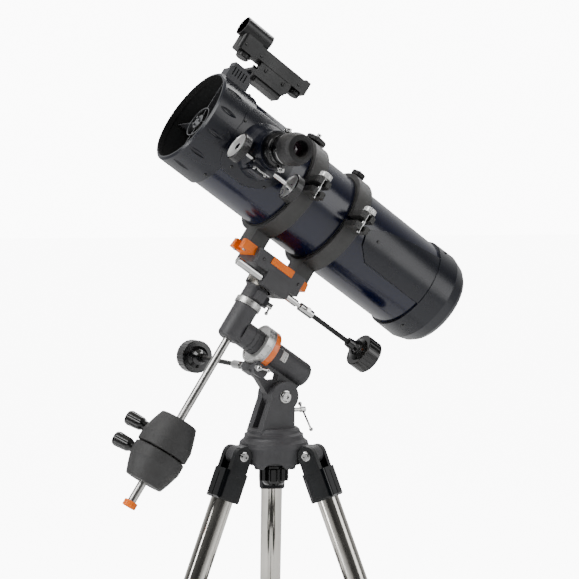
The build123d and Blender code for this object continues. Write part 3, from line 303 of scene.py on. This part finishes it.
def brace_pin(p):
    """The two ends of the pin that holds the brace arm."""
    return abs(p.y) > 8.6 and abs(p.z - BRACE_ALONG) < 3 and abs(p.x + BRACE_INSET) < 3


def leg_lock_knob(p):
    """The knob on the lower collar."""
    return p.x > 30.5 and p.z > 500


def foot(p):
    return p.z > 590 and (radius(p) > SLEEVE_R or p.z > 618)


def extension_bush(p):
    """The bush at the top of the extension."""
    return radius(p) > SLEEVE_R and p.z < 125


for number, azimuth in enumerate(LEG_AZIMUTHS, start=1):
    leg = leg_frame(azimuth)
    coat_node(f"leg_tube_{number}", stainless)
    coat_node(f"leg_fittings_{number}", head_black, leg, [
        (bright, brace_pin),
        (black_plastic, leg_lock_knob),
    ])
    coat_node(f"leg_extension_{number}", stainless, leg, [
        (rubber, foot),
        (black_plastic, extension_bush),
    ])


# Slow-motion cables: a bright coupling, a sheathed cable and a black knob, with the coupling's start and the
# cable's end measured along the worm's axis.
COUPLING_LENGTH = 24.1
for name, line, start, end in (
    ("ra_slow_motion_cable", RA_WORM, 42, 171),
    ("dec_slow_motion_cable", DEC_WORM, 60, 156),
):
    coat_node(name, gloss_black, line, [
        (bright, lambda p, start=start: p.z < start + COUPLING_LENGTH),
        (rubber, lambda p, end=end: p.z < end + 0.2 and radius(p) < 3.9),
    ])

# The counterweights' clamp knobs, whose screws point into the shaft.
WEIGHT_KNOB_ANGLE = radians(47)
WEIGHT_KNOB_WAY = (cos(WEIGHT_KNOB_ANGLE), -sin(WEIGHT_KNOB_ANGLE), 0)
for name, b in (("counterweight_knob_upper", -182), ("counterweight_knob_lower", -216)):
    knob_line = MOUNT @ aimed((0, 0, b * MM), WEIGHT_KNOB_WAY)
    coat_node(name, gloss_black, knob_line, [(steel, lambda p: radius(p) < 3.6)])


# Tube rings, with bright hinge pins and a bright stud in the front one's cap.
HINGE = -84.5  # the hinge pins' axis, on the far side of the tube
coat_node("tube_ring_lowers", ring_black, TUBE, [(bright, lambda p: radius(p, HINGE, 0) < 2.6)])
for name, middle in RINGS:
    coat_node(f"tube_ring_upper_{name}", ring_black, TUBE @ aimed((0, 0, middle * MM), CAP), [
        (bright, lambda p: radius(p) < 3.3 and p.z > 86),
        (black_plastic, lambda p: radius(p) < 15 and p.z > 79.2),
    ])
    coat_node(f"ring_screw_{name}", bright, TUBE, [(knurled, lambda p: p.y > 14.4)])


# Tube and optics

coat_node("optical_tube", tube_navy, TUBE, [(inside_black, lambda p: radius(p) < TUBE_INSIDE_R)])
coat_node("front_cell", cell_grey, TUBE, [
    (inside_black, lambda p: radius(p) < TUBE_INSIDE_R and p.z < 222.4),
])
coat_node("primary_mirror", glass_edge, TUBE, [(mirror, lambda p: radius(p) < 56.9 and p.z > -230)])
coat_node("mirror_cell", black_plastic, TUBE, [(knurled, lambda p: p.z < -246.2 and radius(p) > 30)])
coat_node("spider", vane_metal, TUBE, [(inside_black, lambda p: radius(p) < 20.5 and p.z < 204)])
coat_node("secondary_mirror", inside_black, TUBE, [(mirror, lambda p: abs(p.x - p.z + FOCUS_A) < 0.4)])


# Focuser, eyepiece and finder

def focus_radius(p):
    """Distance from the focuser's axis."""
    return sqrt(p.y ** 2 + (p.z - FOCUS_A) ** 2)


def knob_dish(p):
    """The dished face on the outside of each focus knob."""
    return radius(p, *PINION) > 5.2 and (p.z > 174 or 78 < p.z < 84)


coat_node("drawtube", gloss_black, TUBE, [
    (bright, lambda p: focus_radius(p) > 24.2),
    (inside_black, lambda p: focus_radius(p) < 16.2),
])
coat_node("focus_knobs", bright, TUBE, [
    (gloss_black, lambda p: radius(p, *PINION) > 18.4),
    (dish_metal, knob_dish),
])
coat_node("eyepiece", gloss_black, TUBE @ aimed((0, 0, FOCUS_A * MM), (1, 0, 0)), [
    (lens, lambda p: 162.9 < p.z < 168 and radius(p) < 9.3),
    (rubber, lambda p: p.z > 151.6),
    (bright, lambda p: 147.6 < p.z < 151.2 and radius(p) > 20.4),
    (bright, lambda p: p.z < 136.6),
])
coat_node("finder_body", black_plastic, TUBE, [
    (lens, lambda p: 204.9 < p.z < 207.1 and radius(p, *FINDER) < 12.9),
    (gloss_black, lambda p: radius(p, *FINDER) < 13.1 and p.z > 180),
])


# Details

def ride(name, mesh, body, material):
    """Makes a mesh a piece that rides on a body."""
    mesh.materials.append(material)
    thing = bpy.data.objects.new(name, mesh)
    bpy.context.scene.collection.objects.link(thing)
    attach(thing, body)


def piece(name, body, place, build, material, smooth=False):
    """A piece built in a frame's millimetres."""
    mesh = bpy.data.meshes.new(name)
    bm = bmesh.new()
    build(bm)
    bmesh.ops.transform(bm, matrix=place @ Matrix.Scale(MM, 4), verts=bm.verts)
    bmesh.ops.recalc_face_normals(bm, faces=bm.faces)
    bm.to_mesh(mesh)
    bm.free()
    if smooth:
        mesh.shade_smooth()
        mesh.set_sharp_from_angle(angle=radians(35))
    ride(name, mesh, body, material)


def add_box(bm, matrix, x, y, z):
    """A box of full sizes x, y, z centred on a frame."""
    bmesh.ops.create_cube(bm, size=1.0, matrix=matrix @ Matrix.Diagonal((x, y, z, 1)))


def add_cone(bm, matrix, r0, r1, height, segments):
    """A capped cone standing on a frame's origin."""
    bmesh.ops.create_cone(bm, cap_ends=True, segments=segments, radius1=r0, radius2=r1, depth=height,
                          matrix=matrix @ at(0, 0, height / 2))


def add_band(bm, r0, r1, z0, z1, turn0, turn1, steps):
    """Part of a ring about Z, between two radii, heights and angles in degrees."""
    rows = []
    for i in range(steps + 1):
        turn = radians(turn0 + (turn1 - turn0) * i / steps)
        corners = ((r0, z0), (r1, z0), (r1, z1), (r0, z1))
        rows.append([bm.verts.new((r * cos(turn), r * sin(turn), z)) for r, z in corners])
    for a, b in zip(rows, rows[1:]):
        for k in range(4):
            bm.faces.new((a[k], a[(k + 1) % 4], b[(k + 1) % 4], b[k]))
    bm.faces.new(rows[0])
    bm.faces.new(rows[-1])


def around(turn, r, z):
    """A frame on a cylinder about Z, at an angle in degrees: Z outward, Y along the cylinder's axis."""
    outward = Vector((cos(radians(turn)), sin(radians(turn)), 0))
    along = Vector((0, 0, 1))
    matrix = Matrix((along.cross(outward), along, outward)).transposed().to_4x4()
    matrix.translation = (outward * r) + along * z
    return matrix


def screws(name, body, place, spots, r, material=bright):
    """Domed screws, each seated on a frame, with a flat dark cross on each dome: painted shade where a cross
    recess would be.
    """
    sunk = 0.3
    rim = 0.3 + 0.3 * r
    dome = 0.35 * r

    def build(bm):
        for spot in spots:
            add_cone(bm, spot @ at(0, 0, -sunk), r, r, sunk + rim, 20)
            add_cone(bm, spot @ at(0, 0, rim), r, r * 0.62, dome, 20)

    # A flat dark cross laid on each dome, painted shade standing in for the cross recess, which is not cut.
    def cross(bm):
        for spot in spots:
            top = spot @ at(0, 0, rim + dome)
            add_box(bm, top, r, r * 0.22, 0.12)
            add_box(bm, top, r * 0.22, r, 0.12)

    piece(name, body, place, build, material, smooth=True)
    piece(name + "_cross", body, place, cross, print_and_shade_black)


def numerals(name, body, place, labels, size):
    """Printed figures; labels hold (text, frame) with X right, Y up and Z outward."""
    verts, faces = [], []
    for text, spot in labels:
        curve = bpy.data.curves.new(name, "FONT")
        curve.body = text
        curve.size = size
        curve.align_x = "CENTER"
        curve.align_y = "CENTER"
        curve.extrude = 0.05
        curve.resolution_u = 2
        figure = bpy.data.objects.new(name + "_draft", curve)
        bpy.context.scene.collection.objects.link(figure)
        bpy.context.view_layer.update()
        mesh = bpy.data.meshes.new_from_object(figure)
        offset = len(verts)
        verts += [place @ (MM * (spot @ v.co)) for v in mesh.vertices]
        faces += [[offset + i for i in face.vertices] for face in mesh.polygons]
        bpy.data.objects.remove(figure)
    mesh = bpy.data.meshes.new(name)
    mesh.from_pydata(verts, [], faces)
    ride(name, mesh, body, print_and_shade_black)


MARK_HEIGHT = 0.08  # of a printed line


def ticks(name, body, place, r, marks):
    """Printed lines along a cylinder; marks hold (angle, low end, high end, width)."""

    def build(bm):
        for turn, low, high, width in marks:
            add_box(bm, around(turn, r, (low + high) / 2), width, high - low, MARK_HEIGHT)

    piece(name, body, place, build, print_and_shade_black)


# Setting circles: right ascension every ten minutes with longer lines at the hours, and declination every
# five degrees with longer lines at the tens.
RA_CIRCLE_R = 30.0
DEC_CIRCLE_R = 19.6
MARK_RISE = 0.02

ra_marks = []
for i in range(144):
    ra_marks.append((i * 2.5, 51.2 if i % 6 else 49.2, 54.6, 0.45))
ticks("ra_circle_marks", "ra_setting_circle", CIRCLE_LINE, RA_CIRCLE_R + MARK_RISE, ra_marks)
ra_labels = [(str(i * 2), around(i * 30, RA_CIRCLE_R, 46.4)) for i in range(12)]
numerals("ra_circle_numerals", "ra_setting_circle", CIRCLE_LINE, ra_labels, 4.4)

dec_marks = []
for i in range(72):
    dec_marks.append((i * 5, 34.6, 37.0 if i % 2 else 38.6, 0.4))
ticks("dec_circle_marks", "dec_setting_circle", MOUNT, DEC_CIRCLE_R + MARK_RISE, dec_marks)
dec_labels = []
for i in range(12):
    value = abs((i * 30 + 90) % 180 - 90)
    dec_labels.append((str(value), around(i * 30 + 15, DEC_CIRCLE_R, 41.0)))
numerals("dec_circle_numerals", "dec_setting_circle", MOUNT, dec_labels, 3.6)


# The latitude scale on the near side of the polar barrel.
PLATE_R = 19.5


def latitude_plate(bm):
    add_band(bm, 19.15, PLATE_R, -88.0, -78.5, -12, 34, 8)


def latitude_lines(bm):
    """Ten lines, every other one longer."""
    for i in range(10):
        middle, length = (-80.4, 3.0) if i % 2 else (-81.1, 4.4)
        add_box(bm, around(-9 + i * 4.4, PLATE_R, middle), 0.3, length, MARK_HEIGHT)


def latitude_pointer(bm):
    """A pointer of sheet metal, wide at its root and narrow at the scale."""
    verts = []
    for a, turns in ((-66.5, (30, 52)), (-77.5, (33.5, 36.5))):
        for r in (19.25, 20.0):
            verts += [bm.verts.new(around(turn, r, a).to_translation()) for turn in turns]
    for face in ((0, 1, 3, 2), (4, 5, 7, 6), (0, 1, 5, 4), (2, 3, 7, 6), (0, 2, 6, 4), (1, 3, 7, 5)):
        bm.faces.new([verts[k] for k in face])


piece("latitude_scale", "polar_housing", BARREL_LINE, latitude_plate, printed_white)
piece("latitude_marks", "polar_housing", BARREL_LINE, latitude_lines, print_and_shade_black)
piece("latitude_pointer", "polar_housing", BARREL_LINE, latitude_pointer, bright)
latitude_labels = []
for i, value in enumerate((20, 40, 60)):
    latitude_labels.append((str(value), around(-4 + i * 15, PLATE_R, -85.2)))
numerals("latitude_numerals", "polar_housing", BARREL_LINE, latitude_labels, 3.8)


def index_mark(bm):
    """The polar circle's fixed index, a small triangle."""
    add_cone(bm, around(-90, 30.0, -57.5) @ at(0, 0, -0.1), 1.5, 1.5, 0.35, 3)


piece("ra_index", "polar_housing", BARREL_LINE, index_mark, printed_white)


# Felt lips inside the tube rings.
LIP_REACH = 13.1  # from a ring's middle to the middle of a lip
LIP_HALF = 0.65  # half a lip's width


def felt_lips(name, body, middle, low, high):
    """The two lips of one half of a ring, between two angles."""

    def build(bm):
        for edge in (middle - LIP_REACH, middle + LIP_REACH):
            add_band(bm, 70.15, 71.9, edge - LIP_HALF, edge + LIP_HALF, low, high, 60)

    piece(name, body, TUBE, build, felt)


for name, middle in RINGS:
    felt_lips(f"felt_{name}_lower", "saddle", middle, 183, 357)
    felt_lips(f"felt_{name}_upper", f"tube_ring_{name}", middle, 3, 177)


# Screws on the focuser's plate, the cells, the rear ring's cap and the finder.
plate_spots = [around(46.3, 74.3, 149.3), around(14.9, 74.3, 175.6), around(-33.6, 74.3, 154.0),
               around(-30, 74.3, 98.0), around(34, 74.3, 96.0)]
screws("focuser_plate_screws", "tube", TUBE, plate_spots, 2.2, gloss_black)
front_spots = [around(turn, 73.3, 170.0) for turn in (-62, 75, 165, -150)]
screws("front_cell_screws", "tube", TUBE, front_spots, 2.2, gloss_black)
rear_spots = [around(turn, 73.5, -218.5) for turn in (-62.3, 58, 178)]
tongue_spot = around(0.1, 72.4, -93.5)
screws("rear_cell_screws", "tube", TUBE, rear_spots + [tongue_spot], 2.4, gloss_black)
CAP_TOP = 88.0
cap_spot = aimed((CAP[0] * CAP_TOP, CAP[1] * CAP_TOP, RINGS[1][1]), CAP)
screws("ring_cap_screw", "tube_ring_rear", TUBE, [cap_spot], 3.4, gloss_black)
finder_spots = [aimed((22.0, y, z), (1, 0, 0)) for y, z in ((126, 186), (126, 214), (128, 116))]
screws("finder_screws", "finder", TUBE, finder_spots, 2.0, gloss_black)


def pinion_cover(bm):
    """The sprung plate that holds the pinion in its casing."""
    add_box(bm, at(PINION[0], -33.9, FOCUS_A), 15, 0.9, 27)
    add_box(bm, at(PINION[0], -34.5, FOCUS_A), 8, 0.9, 12)


piece("pinion_cover", "tube", TUBE, pinion_cover, bright)
cover_spots = [aimed((PINION[0], -34.4, FOCUS_A + along), (0, -1, 0)) for along in (-9.5, 9.5)]
screws("pinion_cover_screws", "tube", TUBE, cover_spots, 2.3, bright)

# Screws on the saddle: two under the dovetail bar's front end and two in its side.
under_spots = [aimed((56, y, 96.7), (0, 0, -1)) for y in (16, -14)]
screws("dovetail_end_screw", "saddle", MOUNT, under_spots, 3.0)
side_spots = [aimed((x, 31.0, 98), (0, 1, 0)) for x in (28, -38)]
screws("saddle_screws", "saddle", MOUNT, side_spots, 2.2, gloss_black)


# Studio. SIDE points to the camera's right, and BACK from its target to the camera.
VIEW = radians(-28.46)
TILT = radians(2.76)
SIDE = Vector((cos(VIEW), sin(VIEW), 0))
BACK = Vector((sin(VIEW) * cos(TILT), -cos(VIEW) * cos(TILT), sin(TILT)))
TARGET = SIDE * 0.02264 + Vector((0, 0, 0.82085))
CAMERA_DISTANCE = 2.1694
LIGHT_AIM = Vector((0, 0, 0.8))
FLOOR_SIZE = 120.0
FLOOR_Z = -0.0005
FLOOR_GLOW = 9.3  # brightness that the floor has only for the camera
FLOOR_FILL = 0.15  # and brightness that it has for everything
BACKDROP_GLOW = 10.0  # brightness that the world has only for the camera


def board(name, size, centre, toward, material):
    """A flat square of the stage, facing a point."""
    mesh = bpy.data.meshes.new(name)
    half = size / 2
    corners = [(-half, -half, 0), (half, -half, 0), (half, half, 0), (-half, half, 0)]
    mesh.from_pydata(corners, [], [(0, 1, 2, 3)])
    mesh.materials.append(material)
    thing = bpy.data.objects.new(name, mesh)
    thing.matrix_world = aimed(centre, Vector(toward) - Vector(centre))
    bpy.context.scene.collection.objects.link(thing)


pale = finish("pale_floor", linear(236, 236, 236), 0.6, vary=0.02, patch=4, grain=400, bump=0.02, dust=0.0)
tree = pale.node_tree
camera_ray = tree.nodes.new("ShaderNodeLightPath").outputs["Is Camera Ray"]
glow = tree.nodes.new("ShaderNodeMath")
glow.operation = "MULTIPLY_ADD"
glow.inputs[1].default_value = FLOOR_GLOW
glow.inputs[2].default_value = FLOOR_FILL
tree.links.new(camera_ray, glow.inputs[0])
shader = tree.nodes["Principled BSDF"]
shader.inputs["Emission Color"].default_value = (1, 1, 1, 1)
tree.links.new(glow.outputs["Value"], shader.inputs["Emission Strength"])
board("floor", FLOOR_SIZE, (0, 0, FLOOR_Z), (0, 0, 1), pale)


def softbox(name, size, offset, watts):
    """A rectangular light. Its offset from the target is to the camera's right, towards the camera and up."""
    right, back, up = offset
    centre = TARGET + SIDE * right + BACK * back + Vector((0, 0, up))
    light = bpy.data.lights.new(name, "AREA")
    light.shape = "RECTANGLE"
    light.size = size[0]
    light.size_y = size[1]
    light.energy = watts
    thing = bpy.data.objects.new(name, light)
    thing.location = centre
    thing.rotation_euler = (LIGHT_AIM - centre).to_track_quat("-Z", "Y").to_euler()
    bpy.context.scene.collection.objects.link(thing)


softbox("key_light", (1.6, 1.6), (-1.3, 1.2, 1.9), 55)
softbox("fill_light", (1.2, 2.0), (2.2, 1.0, 0.5), 22)
softbox("strip_light", (0.22, 2.2), (-1.5, 0.7, -0.1), 16)
softbox("rim_light", (1.6, 0.8), (0.6, -1.4, 1.8), 40)

# The world lights the telescope from behind and above, and is white to the camera.
world = bpy.data.worlds.new("studio")
bpy.context.scene.world = world
world.use_nodes = True
tree = world.node_tree
camera_ray = tree.nodes.new("ShaderNodeLightPath").outputs["Is Camera Ray"]
world_way = tree.nodes.new("ShaderNodeTexCoord").outputs["Generated"]


def facing(direction, low, high, to_low, to_high):
    """A brightness that grows towards a direction."""
    dot = tree.nodes.new("ShaderNodeVectorMath")
    dot.operation = "DOT_PRODUCT"
    dot.inputs[1].default_value = direction
    tree.links.new(world_way, dot.inputs[0])
    spread = tree.nodes.new("ShaderNodeMapRange")
    for k, value in enumerate((low, high, to_low, to_high), start=1):
        spread.inputs[k].default_value = value
    tree.links.new(dot.outputs["Value"], spread.inputs[0])
    return spread.outputs["Result"]


def combined(operation, a, b):
    """The sum or product of two values, each a socket or a number."""
    node = tree.nodes.new("ShaderNodeMath")
    node.operation = operation
    for k, value in enumerate((a, b)):
        if isinstance(value, bpy.types.NodeSocket):
            tree.links.new(value, node.inputs[k])
        else:
            node.inputs[k].default_value = value
    return node.outputs["Value"]


lighting = combined("ADD", facing(-BACK, 0.0, 0.85, 0.0, 0.75), facing((0, 0, 1), 0.2, 1.0, 0.05, 0.4))
shown = combined("MULTIPLY", camera_ray, BACKDROP_GLOW)
background = tree.nodes["Background"]
background.inputs["Color"].default_value = (1, 1, 1, 1)
tree.links.new(combined("ADD", lighting, shown), background.inputs["Strength"])

camera = bpy.data.cameras.new("camera")
camera.lens = 94.08
camera.sensor_width = 36.0
eye = bpy.data.objects.new("camera", camera)
eye.matrix_world = placed(TARGET + BACK * CAMERA_DISTANCE, SIDE, BACK)
bpy.context.scene.collection.objects.link(eye)
bpy.context.scene.camera = eye

bpy.context.view_layer.update()
